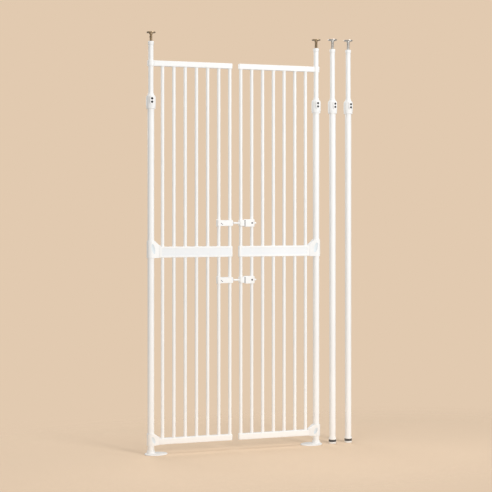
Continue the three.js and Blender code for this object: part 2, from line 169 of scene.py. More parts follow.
def drawn(name, points):
    """A wire, drawn vertex by vertex through the points; it stays open in edit mode."""
    bpy.ops.object.select_all(action="DESELECT")
    bpy.ops.mesh.primitive_plane_add(size=0.01, location=(0, 0, 0))
    bpy.context.object.name = name
    bpy.ops.object.mode_set(mode="EDIT")
    bpy.ops.mesh.select_mode(type="VERT")
    bpy.ops.mesh.select_all(action="SELECT")
    bpy.ops.mesh.merge(type="CENTER")
    bpy.ops.transform.translate(value=points[0])
    for here, there in zip(points, points[1:]):
        step = Vector(there) - Vector(here)
        bpy.ops.mesh.extrude_vertices_move(TRANSFORM_OT_translate={"value": step})
    bpy.ops.mesh.select_all(action="SELECT")


def spun(name, profile, sides):
    """A round piece: its profile of (radius, height) points, spun round the Z axis."""
    drawn(name, [(radius, 0, height) for radius, height in profile])
    bpy.ops.mesh.spin(steps=sides, angle=math.tau, center=(0, 0, 0), axis=(0, 0, 1))
    bpy.ops.mesh.select_all(action="SELECT")
    bpy.ops.mesh.remove_doubles(threshold=weld_reach)
    bpy.ops.mesh.normals_make_consistent(inside=False)
    bpy.ops.object.mode_set(mode="OBJECT")
    return bpy.context.object


def pipe_profile(radius, wall, low, high, edge=0.0003):
    """Profile of a tube whose four rims are broken by a small edge."""
    bore = radius - wall
    return [
        (radius, low + edge),
        (radius, high - edge),
        (radius - edge, high),
        (bore + edge, high),
        (bore, high - edge),
        (bore, low + edge),
        (bore + edge, low),
        (radius - edge, low),
        (radius, low + edge),
    ]


def coated(piece, *finishes):
    """Gives the piece its finish, and a second one for what is cut into it."""
    piece.data.materials.clear()
    for finish in finishes:
        piece.data.materials.append(finish)
    return piece


def smoothed(piece, degrees=32, flats=False):
    """Shades the piece smooth, apart from its real edges; flats keeps its large faces flat."""
    picked(piece)
    bpy.ops.object.shade_smooth_by_angle(angle=math.radians(degrees))
    if flats:
        change = piece.modifiers.new("flat_faces", "WEIGHTED_NORMAL")
        change.mode = "FACE_AREA"
        change.weight = 90
        change.keep_sharp = True
        bpy.ops.object.modifier_apply(modifier=change.name)
    return piece


def moved(piece, place=(0, 0, 0), turn=(0, 0, 0), size=(1, 1, 1)):
    """Moves, turns and sizes the piece, and takes that up in its mesh."""
    picked(piece)
    piece.location = place
    piece.rotation_euler = turn
    piece.scale = size
    bpy.ops.object.transform_apply(location=True, rotation=True, scale=True)
    return piece


def fitted(master, name, x, z=0, turn=0):
    """A copy of a finished piece with a mesh of its own, put in its place on the gate."""
    picked(master)
    bpy.ops.object.duplicate(linked=False)
    piece = bpy.context.object
    piece.name = name
    piece.data.name = name
    return moved(piece, (x, 0, z), (0, 0, turn))


def socket(group, way, kind, name, value=None):
    """Adds one named socket to a node group."""
    made = group.interface.new_socket(name=name, in_out=way, socket_type=kind)
    if value is not None:
        made.default_value = value


# Fine grain of a sprayed or moulded surface: a bump height, and a slow patchiness for gloss.
grain = bpy.data.node_groups.new("fine_grain", "ShaderNodeTree")
socket(grain, "INPUT", "NodeSocketVector", "Vector")
socket(grain, "INPUT", "NodeSocketFloat", "Grains per Metre", 1200)
socket(grain, "INPUT", "NodeSocketFloat", "Patches per Metre", 9)
socket(grain, "OUTPUT", "NodeSocketFloat", "Height")
socket(grain, "OUTPUT", "NodeSocketFloat", "Patch")
entry = grain.nodes.new("NodeGroupInput")
leave = grain.nodes.new("NodeGroupOutput")
speck = shader_node(grain, "TexNoise", {"Detail": 2, "Roughness": 0.45})
patch = shader_node(grain, "TexNoise", {"Detail": 3})
grain.links.new(entry.outputs["Vector"], speck.inputs["Vector"])
grain.links.new(entry.outputs["Grains per Metre"], speck.inputs["Scale"])
grain.links.new(entry.outputs["Vector"], patch.inputs["Vector"])
grain.links.new(entry.outputs["Patches per Metre"], patch.inputs["Scale"])
grain.links.new(speck.outputs["Fac"], leave.inputs["Height"])
grain.links.new(patch.outputs["Fac"], leave.inputs["Patch"])

# Slight change of tone along a piece, with a trace of dust low down by the floor.
tone = bpy.data.node_groups.new("two_tones", "ShaderNodeTree")
socket(tone, "INPUT", "NodeSocketVector", "Vector")
socket(tone, "INPUT", "NodeSocketColor", "Main Tone", (0.9, 0.9, 0.9, 1))
socket(tone, "INPUT", "NodeSocketColor", "Second Tone", (0.8, 0.8, 0.8, 1))
socket(tone, "INPUT", "NodeSocketFloat", "Patches per Metre", 5)
socket(tone, "INPUT", "NodeSocketFloat", "Dust", 0.3)
socket(tone, "OUTPUT", "NodeSocketColor", "Color")
entry = tone.nodes.new("NodeGroupInput")
leave = tone.nodes.new("NodeGroupOutput")
cloud = shader_node(tone, "TexNoise", {"Detail": 4})
spread = shader_node(tone, "MapRange", {"From Min": 0.35, "From Max": 0.75})
blend = shader_node(tone, "Mix")
blend.data_type = "RGBA"
parts = shader_node(tone, "SeparateXYZ")
dust_height = 0.12
low_down = shader_node(
    tone, "MapRange", {"From Min": 0.0, "From Max": dust_height, "To Min": 1.0, "To Max": 0.0}
)
dusty = shader_node(tone, "TexNoise", {"Scale": 60, "Detail": 5})
settled = shader_node(tone, "Math", operation="MULTIPLY")
measured = shader_node(tone, "Math", operation="MULTIPLY")
dust = shader_node(tone, "Mix")
dust.data_type = "RGBA"
dust.inputs["B"].default_value = (0.55, 0.5, 0.44, 1)
tone.links.new(entry.outputs["Vector"], cloud.inputs["Vector"])
tone.links.new(entry.outputs["Patches per Metre"], cloud.inputs["Scale"])
tone.links.new(cloud.outputs["Fac"], spread.inputs["Value"])
tone.links.new(spread.outputs["Result"], blend.inputs["Factor"])
tone.links.new(entry.outputs["Main Tone"], blend.inputs["A"])
tone.links.new(entry.outputs["Second Tone"], blend.inputs["B"])
tone.links.new(entry.outputs["Vector"], parts.inputs["Vector"])
tone.links.new(parts.outputs["Z"], low_down.inputs["Value"])
tone.links.new(entry.outputs["Vector"], dusty.inputs["Vector"])
tone.links.new(low_down.outputs["Result"], settled.inputs[0])
tone.links.new(dusty.outputs["Fac"], settled.inputs[1])
tone.links.new(settled.outputs["Value"], measured.inputs[0])
tone.links.new(entry.outputs["Dust"], measured.inputs[1])
tone.links.new(measured.outputs["Value"], dust.inputs["Factor"])
tone.links.new(blend.outputs["Result"], dust.inputs["A"])
tone.links.new(dust.outputs["Result"], leave.inputs["Color"])


def finish_material(name, main, second, gloss, grains, depth, dust_share=0.0, patches=5):
    """A finish of two near tones, a range of roughness and a fine grain in the surface."""
    material = bpy.data.materials.new(name)
    material.use_nodes = True
    tree = material.node_tree
    shader = tree.nodes["Principled BSDF"]
    where = shader_node(tree, "TexCoord")
    colour = shader_node(tree, "Group")
    colour.node_tree = tone
    colour.inputs["Main Tone"].default_value = (*main, 1)
    colour.inputs["Second Tone"].default_value = (*second, 1)
    colour.inputs["Patches per Metre"].default_value = patches
    colour.inputs["Dust"].default_value = dust_share
    texture = shader_node(tree, "Group")
    texture.name = "Grain"
    texture.node_tree = grain
    texture.inputs["Grains per Metre"].default_value = grains
    spread = {"From Min": 0.3, "From Max": 0.7, "To Min": gloss[0], "To Max": gloss[1]}
    rough = shader_node(tree, "MapRange", spread)
    bump = shader_node(tree, "Bump", {"Strength": 0.5, "Distance": depth})
    tree.links.new(where.outputs["Object"], colour.inputs["Vector"])
    tree.links.new(where.outputs["Object"], texture.inputs["Vector"])
    tree.links.new(colour.outputs["Color"], shader.inputs["Base Color"])
    tree.links.new(texture.outputs["Patch"], rough.inputs["Value"])
    tree.links.new(rough.outputs["Result"], shader.inputs["Roughness"])
    tree.links.new(texture.outputs["Height"], bump.inputs["Height"])
    tree.links.new(bump.outputs["Normal"], shader.inputs["Normal"])
    return material


# Powder coat: satin, with the faint orange peel that such a coat sets with.
powder_coat = finish_material(
    "white_powder_coat", (0.93, 0.925, 0.91), (0.9, 0.896, 0.884), (0.42, 0.54), 480, 0.0002, 0.2
)

left_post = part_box("left_lower_tube")
lower_radius = (left_post[1].x - left_post[0].x) / 2
lower_wall = 0.0012
lower_top = left_post[1].z
spare_x = [middle_of("spare_1_lower_tube"), middle_of("spare_2_lower_tube")]
gate_sites = [("left", left_x), ("right", right_x)]
post_sites = [*gate_sites, ("spare_1", spare_x[0]), ("spare_2", spare_x[1])]

for site, x in post_sites:
    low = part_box(site + "_lower_tube")[0].z
    tube = spun("tube_pattern", pipe_profile(lower_radius, lower_wall, low, lower_top), 56)
    piece = fitted(smoothed(coated(tube, powder_coat)), site + "_lower_post_tube", x)
    bpy.data.objects.remove(tube)
    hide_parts(site + "_lower_tube")
    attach(piece, "root")

# ---- Upper tubes ---------------------------------------------------------------------------
# Narrower steel tube that telescopes in the lower one and is held by the clamp sleeve's
# screws. The same powder coat, with a plastic guide ring pushed on its hidden lower end.

low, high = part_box("left_upper_tube")
upper_radius = (high.x - low.x) / 2
upper_wall = 0.001
upper_tube = spun("upper_pattern", pipe_profile(upper_radius, upper_wall, low.z, high.z), 48)
smoothed(coated(upper_tube, powder_coat))
guide_outer = lower_radius - lower_wall - 0.0004
guide_inner = upper_radius - 0.0002
guide_low = low.z + 0.004
guide_high = guide_low + 0.03
guide_wall = guide_outer - guide_inner
guide_profile = pipe_profile(guide_outer, guide_wall, guide_low, guide_high, 0.0006)
guide_ring = spun("guide_pattern", guide_profile, 40)
white_resin = finish_material(
    "white_moulded_plastic",
    (0.925, 0.92, 0.905),
    (0.895, 0.89, 0.88),
    (0.42, 0.55),
    1500,
    0.00015,
    0.3,
)
smoothed(coated(guide_ring, white_resin))
for site, x in post_sites:
    piece = fitted(upper_tube, site + "_upper_post_tube", x)
    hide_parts(site + "_upper_tube")
    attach(piece, site + "_extension")
    ring = fitted(guide_ring, site + "_guide_ring", x)
    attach(ring, site + "_extension")
bpy.data.objects.remove(upper_tube)
bpy.data.objects.remove(guide_ring)

# ---- Foot plates of the gate posts -----------------------------------------------------------
# Oval steel plate with a flared collar welded on, into which the post is pushed. Powder
# coated like the tubes; a pale rubber sheet is glued into its hollow underside.


def combined(piece, tool, way):
    """Unites, cuts or crosses a piece with a tool, which is used up."""
    change = piece.modifiers.new("shape", "BOOLEAN")
    change.operation = way
    change.solver = "EXACT"
    change.object = tool
    picked(piece)
    bpy.ops.object.modifier_apply(modifier=change.name)
    bpy.data.objects.remove(tool)
    return piece


def bored(piece, radius, low, high, sides):
    """Bores a round hole on the post's axis out of a piece."""
    bore = spun("bore_tool", [(0, low), (radius, low), (radius, high), (0, high)], sides)
    return combined(piece, bore, "DIFFERENCE")


plate_low, plate_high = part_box("left_foot_plate")
plate_half_length = (plate_high.x - plate_low.x) / 2
plate_half_width = (plate_high.y - plate_low.y) / 2
plate_centre = (plate_high.x + plate_low.x) / 2 - left_x
plate_top = 0.006
collar_top = plate_high.z
collar_bore = lower_radius + 0.00035
plate = spun(
    "foot_pattern",
    [
        (0, 0.0016),
        (0.86, 0.0016),
        (0.875, 0),
        (0.965, 0),
        (0.99, 0.0006),
        (1, 0.002),
        (0.998, 0.0034),
        (0.985, 0.0046),
        (0.96, 0.0053),
        (0.92, 0.0057),
        (0.85, plate_top),
        (0, plate_top),
    ],
    96,
)
plate_size = (plate_half_length, plate_half_width, 1)
moved(plate, (plate_centre, 0, 0), size=plate_size)
collar = spun(
    "collar_pattern",
    [
        (0, plate_top - 0.002),
        (collar_bore + 0.0105, plate_top - 0.002),
        (collar_bore + 0.0102, plate_top + 0.0002),
        (collar_bore + 0.0085, plate_top + 0.0008),
        (collar_bore + 0.0065, plate_top + 0.0021),
        (collar_bore + 0.0049, plate_top + 0.0042),
        (collar_bore + 0.0038, plate_top + 0.007),
        (collar_bore + 0.003, plate_top + 0.0104),
        (collar_bore + 0.0026, collar_top - 0.0006),
        (collar_bore + 0.002, collar_top),
        (0, collar_top),
    ],
    64,
)
combined(plate, collar, "UNION")
bored(plate, collar_bore, plate_top - 0.0002, 0.03, 64)
smoothed(coated(plate, powder_coat), 35)
sheet = spun(
    "sheet_pattern",
    [(0, 0.0001), (0.83, 0.0001), (0.845, 0.0006), (0.845, 0.0015), (0, 0.0015)],
    72,
)
moved(sheet, (plate_centre, 0, 0), size=plate_size)
pale_rubber = finish_material(
    "pale_foot_rubber", (0.62, 0.61, 0.58), (0.52, 0.51, 0.48), (0.7, 0.85), 900, 0.0003, 0.6
)
smoothed(coated(sheet, pale_rubber), 35)
gate_sides = (("left", left_x, 0), ("right", right_x, math.pi))
for site, x, turn in gate_sides:
    piece = fitted(plate, site + "_oval_foot", x, 0, turn)
    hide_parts(site + "_foot_plate")
    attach(piece, "root")
    under = fitted(sheet, site + "_foot_rubber", x, 0, turn)
    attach(under, "root")
bpy.data.objects.remove(plate)
bpy.data.objects.remove(sheet)

# ---- Tips of the spare posts -----------------------------------------------------------------
# Push-on plastic tip: white base and collar, with a ribbed black rubber band moulded between
# them so that a post doesn't slip on the floor.

tip_low, tip_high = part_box("spare_1_foot_tip")
tip_outer = (tip_high.y - tip_low.y) / 2 - 0.0005
fit_gap = 0.0003
tip_bore = lower_radius + fit_gap
band_low = 0.009
band_high = 0.020
tip_base = spun(
    "base_pattern",
    [
        (0, 0.0008),
        (tip_outer - 0.006, 0.0008),
        (tip_outer - 0.005, 0),
        (tip_outer - 0.0016, 0),
        (tip_outer - 0.0005, 0.0006),
        (tip_outer, 0.002),
        (tip_outer, band_low - 0.0008),
        (tip_outer - 0.0006, band_low - 0.0001),
        (tip_outer - 0.0015, band_low - 0.0001),
        (0, band_low - 0.0001),
    ],
    56,
)
rib_count = 4
band_rim = 0.0004
valley = tip_outer - 0.0002
crest = tip_outer + 0.0004
rib = (band_high - band_low - 2 * band_rim) / rib_count
band_profile = [(tip_bore + 0.0003, band_low)]
for count in range(rib_count):
    start = band_low + band_rim + count * rib
    band_profile += [(valley, start), (crest, start + rib * 0.3)]
    band_profile += [(crest, start + rib * 0.7), (valley, start + rib)]
band_profile += [(tip_bore + 0.0003, band_high), (tip_bore + 0.0003, band_low)]
tip_band = spun("band_pattern", band_profile, 56)
tip_ring = spun(
    "ring_pattern",
    [
        (tip_bore, band_high + 0.0001),
        (tip_outer - 0.0005, band_high + 0.0001),
        (tip_outer, band_high + 0.0007),
        (tip_outer, tip_high.z - 0.0016),
        (tip_outer - 0.0004, tip_high.z - 0.0006),
        (tip_outer - 0.0012, tip_high.z),
        (tip_bore + 0.0003, tip_high.z),
        (tip_bore, tip_high.z - 0.0003),
        (tip_bore, band_high + 0.0001),
    ],
    56,
)
# Real black rubber for the tip bands; the same black also lines the latch groove and slit as
# painted shade.
black_rubber_and_slit_shade = finish_material(
    "black_band_rubber_and_slit_shade", (0.03, 0.03, 0.031), (0.05, 0.049, 0.047), (0.55, 0.72), 900, 0.0002, 0.25
)
tip_finishes = ((tip_base, white_resin), (tip_band, black_rubber_and_slit_shade), (tip_ring, white_resin))
for pattern, finish in tip_finishes:
    smoothed(coated(pattern, finish), 35)
for number, x in enumerate(spare_x, 1):
    piece = fitted(tip_base, f"spare_{number}_tip_base", x)
    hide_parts(f"spare_{number}_foot_tip")
    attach(piece, "root")
    for pattern, label in ((tip_band, "band"), (tip_ring, "ring")):
        extra = fitted(pattern, f"spare_{number}_tip_{label}", x)
        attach(extra, "root")
for pattern in (tip_base, tip_band, tip_ring):
    bpy.data.objects.remove(pattern)

# ---- Clamp sleeves ---------------------------------------------------------------------------
# Moulded sleeve over the joint of the two tubes: straight barrel with a short round shoulder, a
# parting groove near its foot, a neck on the upper tube, and a raised pad with two screw holes.

sleeve_low, sleeve_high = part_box("left_clamp_sleeve")
sleeve_radius = (sleeve_high.x - sleeve_low.x) / 2 - 0.0004
sleeve_base = sleeve_low.z
boss_front = sleeve_low.y
boss_half_width = 0.010
boss_half_height = 0.020
grub_radius = 0.0053
grub_offset = 0.008
sleeve = spun(
    "sleeve_pattern",
    [
        (0, sleeve_base),
        (sleeve_radius - 0.0036, sleeve_base),
        (sleeve_radius - 0.0022, sleeve_base + 0.0005),
        (sleeve_radius - 0.0013, sleeve_base + 0.0016),
        (sleeve_radius - 0.001, sleeve_base + 0.003),
        (sleeve_radius - 0.0008, sleeve_base + 0.0078),
        (sleeve_radius - 0.0021, sleeve_base + 0.0083),
        (sleeve_radius - 0.0021, sleeve_base + 0.0097),
        (sleeve_radius - 0.0007, sleeve_base + 0.0102),
        (sleeve_radius - 0.0003, sleeve_base + 0.014),
        (sleeve_radius, sleeve_base + 0.022),
        (sleeve_radius, sleeve_base + 0.046),
        (sleeve_radius - 0.0003, sleeve_base + 0.053),
        (sleeve_radius - 0.0008, sleeve_base + 0.0574),
        (sleeve_radius - 0.0018, sleeve_base + 0.0606),
        (sleeve_radius - 0.0034, sleeve_base + 0.063),
        (sleeve_radius - 0.0054, sleeve_base + 0.0645),
        (upper_radius + 0.0032, sleeve_base + 0.0656),
        (upper_radius + 0.0026, sleeve_base + 0.068),
        (upper_radius + 0.0018, sleeve_high.z - 0.0006),
        (upper_radius + 0.0012, sleeve_high.z),
        (0, sleeve_high.z),
    ],
    64,
)


def rounded(left, bottom, right, top, radius, steps=5):
    """Corner points of a rectangle with round corners, as (across, up) pairs."""
    points = []
    corners = (
        (right - radius, bottom + radius, -90),
        (right - radius, top - radius, 0),
        (left + radius, top - radius, 90),
        (left + radius, bottom + radius, 180),
    )
    for across, up, start in corners:
        for step in range(steps + 1):
            angle = math.radians(start + 90 * step / steps)
            points.append((across + radius * math.cos(angle), up + radius * math.sin(angle)))
    return points


def block(name, outline, depth):
    """A closed outline of 3-D points, filled and pulled out by the depth vector."""
    drawn(name, [*outline, outline[0]])
    bpy.ops.mesh.remove_doubles(threshold=weld_reach)
    bpy.ops.mesh.select_all(action="SELECT")
    bpy.ops.mesh.edge_face_add()
    bpy.ops.mesh.extrude_region_move(TRANSFORM_OT_translate={"value": depth})
    bpy.ops.mesh.select_all(action="SELECT")
    bpy.ops.mesh.normals_make_consistent(inside=False)
    bpy.ops.object.mode_set(mode="OBJECT")
    return bpy.context.object


def front_block(name, outline, front, back):
    """A block whose (across, up) outline faces the front of the gate."""
    return block(name, [(x, front, z) for x, z in outline], (0, back - front, 0))


def bevelled(piece, width, segments=2, degrees=30):
    """Rounds the piece's real edges."""
    change = piece.modifiers.new("rounding", "BEVEL")
    change.width = width
    change.segments = segments
    change.limit_method = "ANGLE"
    change.angle_limit = math.radians(degrees)
    change.use_clamp_overlap = True
    picked(piece)
    bpy.ops.object.modifier_apply(modifier=change.name)
    return piece


def round_cut(body, centre, radius, length, along, sides=32):
    """Cuts a round hole along the bars (z), the bolt (x) or from front to back (y)."""
    bpy.ops.object.select_all(action="DESELECT")
    bpy.ops.mesh.primitive_cylinder_add(
        vertices=sides,
        radius=radius,
        depth=length,
        location=centre,
        rotation={"x": (0, math.pi / 2, 0), "y": (math.pi / 2, 0, 0), "z": (0, 0, 0)}[along],
    )
    return combined(body, bpy.context.object, "DIFFERENCE")


boss_outline = rounded(
    -boss_half_width,
    lower_top - boss_half_height,
    boss_half_width,
    lower_top + boss_half_height,
    boss_half_width - 0.0005,
    8,
)
boss = front_block("boss_tool", boss_outline, boss_front, -upper_radius - 0.002)
bevelled(boss, 0.0012, 3, 60)
combined(sleeve, boss, "UNION")
overshoot = 0.01
below = sleeve_base - overshoot
bored(sleeve, lower_radius + fit_gap, below, lower_top + fit_gap, 56)
bored(sleeve, upper_radius + fit_gap, below, sleeve_high.z + overshoot, 48)
screw_heights = (("lower", lower_top - grub_offset), ("upper", lower_top + grub_offset))
for place, height in screw_heights:
    round_cut(sleeve, (0, boss_front + 0.009, height), grub_radius + 0.0004, 0.02, "y", 28)
smoothed(coated(sleeve, white_resin), 33)
spare_turn = math.radians(10)
for site, x in post_sites:
    turn = spare_turn if site.startswith("spare") else 0
    piece = fitted(sleeve, site + "_barrel_sleeve", x, 0, turn)
    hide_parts(site + "_clamp_sleeve")
    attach(piece, "root")
bpy.data.objects.remove(sleeve)

# ---- Grub screws -----------------------------------------------------------------------------
# Two blackened steel hex-socket screws in each sleeve; one bears on each tube. The sockets
# face the front, turned a little on the spare posts as their sleeves are.

screw_head = -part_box("left_clamp_screw_lower")[0].y
screw_foot = lower_radius + fit_gap
grub = spun(
    "grub_pattern",
    [
        (0, screw_foot),
        (grub_radius - 0.0014, screw_foot),
        (grub_radius, screw_foot + 0.0014),
        (grub_radius, screw_head - 0.0007),
        (grub_radius - 0.0002, screw_head - 0.0003),
        (grub_radius - 0.0007, screw_head),
        (0, screw_head),
    ],
    32,
)
hex_radius = 0.0026
hex_depth = 0.004
round_cut(grub, (0, 0, screw_head), hex_radius, 2 * hex_depth, "z", 6)
moved(grub, turn=(math.pi / 2, 0, 0))
black_oxide = finish_material(
    "black_oxide_steel", (0.012, 0.012, 0.013), (0.022, 0.021, 0.02), (0.5, 0.65), 1800, 0.00008
)
black_oxide.node_tree.nodes["Principled BSDF"].inputs["Specular IOR Level"].default_value = 0.3
smoothed(coated(grub, black_oxide), 30)
for site, x in post_sites:
    spare = site.startswith("spare")
    turn = spare_turn if spare else 0
    for place, height in screw_heights:
        piece = fitted(grub, f"{site}_{place}_grub_screw", x, height, turn)
        if not spare:
            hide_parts(f"{site}_clamp_screw_{place}")
        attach(piece, "root")
bpy.data.objects.remove(grub)

# ---- Tube caps -------------------------------------------------------------------------------
# White moulded plug in the top of each upper tube, with a lip over the tube's rim and a
# chamfered hole for the jack screw.

cap_low, cap_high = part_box("left_tube_cap")
cap_lip = (cap_high.x - cap_low.x) / 2
cap_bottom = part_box("left_upper_tube")[1].z
jack_radius = 0.007
cap_bore = jack_radius + 0.0004
cap_plug = upper_radius - upper_wall - 0.0003
cap = spun(
    "cap_pattern",
    [
        (cap_bore, cap_low.z),
        (cap_plug - 0.0005, cap_low.z),
        (cap_plug, cap_low.z + 0.001),
        (cap_plug, cap_bottom + 0.0003),
        (cap_lip - 0.0006, cap_bottom + 0.0003),
        (cap_lip, cap_bottom + 0.0009),
        (cap_lip, cap_bottom + 0.0036),
        (cap_lip - 0.0005, cap_bottom + 0.0042),
        (cap_lip - 0.0005, cap_bottom + 0.0048),
        (cap_lip, cap_bottom + 0.0054),
        (cap_lip, cap_high.z - 0.0022),
        (cap_lip - 0.0004, cap_high.z - 0.001),
        (cap_lip - 0.0012, cap_high.z - 0.0003),
        (cap_lip - 0.0024, cap_high.z),
        (cap_bore + 0.001, cap_high.z),
        (cap_bore, cap_high.z - 0.001),
        (cap_bore, cap_low.z),
    ],
    56,
)
smoothed(coated(cap, white_resin), 35)
for site, x in post_sites:
    piece = fitted(cap, site + "_top_cap", x)
    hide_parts(site + "_tube_cap")
    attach(piece, site + "_extension")
bpy.data.objects.remove(cap)

# ---- Jack screws of the gate posts -----------------------------------------------------------
# Steel screw with a rolled 14 mm thread of 3 mm pitch, zinc plated; its brown tint is a painted
# reflection of the sand backdrop. The turned-down upper end pivots in the pad; turning it presses
# the post against the ceiling.

screw_low, screw_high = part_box("left_jack_screw")
pivot_length = 0.005
pivot_radius = 0.004
thread_pitch = 0.003
thread_core = jack_radius - 0.0011
thread_steps = 28
end_trim = 0.00013


def threaded(name, low, high):
    """A threaded rod: one turn's profile wound up by a screw modifier, its ends cut square."""
    turns = math.ceil((high - low) / thread_pitch) + 2
    start = low - thread_pitch * 1.4
    drawn(
        name,
        [
            (thread_core, 0, start),
            (thread_core, 0, start + thread_pitch * 0.16),
            (jack_radius - 0.0001, 0, start + thread_pitch * 0.42),
            (jack_radius, 0, start + thread_pitch * 0.5),
            (jack_radius - 0.0001, 0, start + thread_pitch * 0.58),
            (thread_core, 0, start + thread_pitch * 0.84),
            (thread_core, 0, start + thread_pitch),
        ],
    )
    bpy.ops.object.mode_set(mode="OBJECT")
    rod = bpy.context.object
    wind = rod.modifiers.new("winding", "SCREW")
    wind.axis = "Z"
    wind.angle = math.tau
    wind.screw_offset = thread_pitch
    wind.iterations = turns
    wind.steps = thread_steps
    wind.render_steps = thread_steps
    wind.use_merge_vertices = True
    wind.merge_threshold = weld_reach
    bpy.ops.object.modifier_apply(modifier=wind.name)
    bpy.ops.object.mode_set(mode="EDIT")
    bpy.ops.mesh.select_mode(type="VERT")
    bpy.ops.mesh.select_all(action="SELECT")
    bpy.ops.mesh.remove_doubles(threshold=weld_reach)
    for height, way in ((high - end_trim, 1), (low + end_trim, -1)):
        bpy.ops.mesh.select_all(action="SELECT")
        bpy.ops.mesh.bisect(
            plane_co=(0, 0, height), plane_no=(0, 0, way), use_fill=True, clear_outer=True
        )
    bpy.ops.mesh.select_all(action="SELECT")
    bpy.ops.mesh.normals_make_consistent(inside=False)
    bpy.ops.object.mode_set(mode="OBJECT")
    return rod


# Fine rings left by turning and rolling, as a height and as a slow change of shine.
rings = bpy.data.node_groups.new("turned_rings", "ShaderNodeTree")
socket(rings, "INPUT", "NodeSocketVector", "Vector")
socket(rings, "INPUT", "NodeSocketFloat", "Rings per Metre", 2500)
socket(rings, "OUTPUT", "NodeSocketFloat", "Height")
socket(rings, "OUTPUT", "NodeSocketFloat", "Shine")
entry = rings.nodes.new("NodeGroupInput")
leave = rings.nodes.new("NodeGroupOutput")
stretch = shader_node(rings, "VectorMath", {1: (0.02, 0.02, 1)}, "MULTIPLY")
ring_noise = shader_node(rings, "TexNoise", {"Detail": 3})
blotch = shader_node(rings, "TexNoise", {"Scale": 70, "Detail": 4})
rings.links.new(entry.outputs["Vector"], stretch.inputs[0])
rings.links.new(stretch.outputs["Vector"], ring_noise.inputs["Vector"])
rings.links.new(entry.outputs["Rings per Metre"], ring_noise.inputs["Scale"])
rings.links.new(entry.outputs["Vector"], blotch.inputs["Vector"])
rings.links.new(ring_noise.outputs["Fac"], leave.inputs["Height"])
rings.links.new(blotch.outputs["Fac"], leave.inputs["Shine"])


def plated_metal(name, main, second, gloss):
    """Plated steel: two near tones of metal, a mottled shine and fine turning rings."""
    material = finish_material(name, main, second, gloss, 900, 0.00005, 0, 60)
    tree = material.node_tree
    tree.nodes["Principled BSDF"].inputs["Metallic"].default_value = 1.0
    tree.nodes.remove(tree.nodes["Grain"])
    turned = shader_node(tree, "Group")
    turned.node_tree = rings
    where = tree.nodes["Texture Coordinate"]
    rough = tree.nodes["Map Range"]
    bump = tree.nodes["Bump"]
    bump.inputs["Strength"].default_value = 0.35
    tree.links.new(where.outputs["Object"], turned.inputs["Vector"])
    tree.links.new(turned.outputs["Shine"], rough.inputs["Value"])
    tree.links.new(turned.outputs["Height"], bump.inputs["Height"])
    return material


# Painted reflection: the brown of the sand backdrop is painted into this zinc's base colour.
sand_reflection_zinc = plated_metal(
    "zinc_plate_painted_sand_reflection", (0.45, 0.34, 0.22), (0.36, 0.27, 0.17), (0.34, 0.5)
)
shoulder = screw_high.z - pivot_length - 0.0003
jack = threaded("jack_pattern", screw_low.z, shoulder)
pivot = spun(
    "pivot_tool",
    [
        (0, shoulder - 0.004),
        (thread_core - 0.0006, shoulder - 0.004),
        (thread_core - 0.0006, shoulder),
        (pivot_radius, shoulder + 0.0001),
        (pivot_radius, screw_high.z - 0.0006),
        (pivot_radius - 0.0006, screw_high.z),
        (0, screw_high.z),
    ],
    32,
)
combined(jack, pivot, "UNION")
smoothed(coated(jack, sand_reflection_zinc), 40)
for site, x in gate_sites:
    piece = fitted(jack, site + "_threaded_jack", x)
    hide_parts(site + "_jack_screw")
    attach(piece, site + "_screw")
bpy.data.objects.remove(jack)

# ---- Ceiling pads of the gate posts ----------------------------------------------------------
# Pressed steel disc with a drawn hub over the screw's pivot, zinc plated. A rubber disc is
# glued in its rim so that the pad grips and doesn't mark the ceiling.

pad_low, pad_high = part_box("left_ceiling_pad")
pad_radius = (pad_high.x - pad_low.x) / 2
pad_thickness = 0.005
hub_radius = 0.0088


def pad_profile(hub_bottom, pad_top, bore):
    """Profile of hub and disc round a blind bore of the given radius and depth."""
    pad_bottom = pad_top - pad_thickness
    return [
        (0, hub_bottom + bore[1]),
        (bore[0], hub_bottom + bore[1]),
        (bore[0], hub_bottom),
        (hub_radius - 0.0012, hub_bottom),
        (hub_radius - 0.0005, hub_bottom + 0.0003),
        (hub_radius - 0.0001, hub_bottom + 0.0012),
        (hub_radius, hub_bottom + 0.003),
        (hub_radius, pad_bottom - 0.001),
        (hub_radius + 0.0009, pad_bottom),
        (pad_radius - 0.0022, pad_bottom),
        (pad_radius - 0.0009, pad_bottom + 0.0003),
        (pad_radius - 0.0001, pad_bottom + 0.0013),
        (pad_radius, pad_bottom + 0.0022),
        (pad_radius, pad_top - 0.0009),
        (pad_radius - 0.0003, pad_top - 0.0004),
        (pad_radius - 0.0009, pad_top - 0.0004),
        (pad_radius - 0.0012, pad_top - 0.0016),
        (0, pad_top - 0.0016),
    ]


def grip_disc(name, pad_top):
    """The rubber disc in a pad's rim."""
    radius = pad_radius - 0.0014
    profile = [
        (0, pad_top - 0.0015),
        (radius, pad_top - 0.0015),
        (radius, pad_top - 0.0005),
        (radius - 0.0006, pad_top),
        (radius - 0.004, pad_top),
        (radius - 0.0045, pad_top - 0.0003),
        (radius - 0.005, pad_top),
        (0, pad_top),
    ]
    return spun(name, profile, 64)


pivot_hole = (pivot_radius + fit_gap, 0.0053)
pad = spun("pad_pattern", pad_profile(pad_low.z, pad_high.z, pivot_hole), 72)
disc = grip_disc("disc_pattern", pad_high.z)
grip_rubber = finish_material(
    "grey_grip_rubber", (0.2, 0.195, 0.19), (0.26, 0.255, 0.245), (0.65, 0.8), 900, 0.0003
)
# The pad takes the same zinc, with its painted sand reflection.
smoothed(coated(pad, sand_reflection_zinc), 30)
smoothed(coated(disc, grip_rubber), 30)
for site, x in gate_sites:
    piece = fitted(pad, site + "_pressed_pad", x)
    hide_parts(site + "_ceiling_pad")
    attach(piece, site + "_pad")
    top = fitted(disc, site + "_pad_rubber", x)
    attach(top, site + "_pad")
bpy.data.objects.remove(pad)
bpy.data.objects.remove(disc)
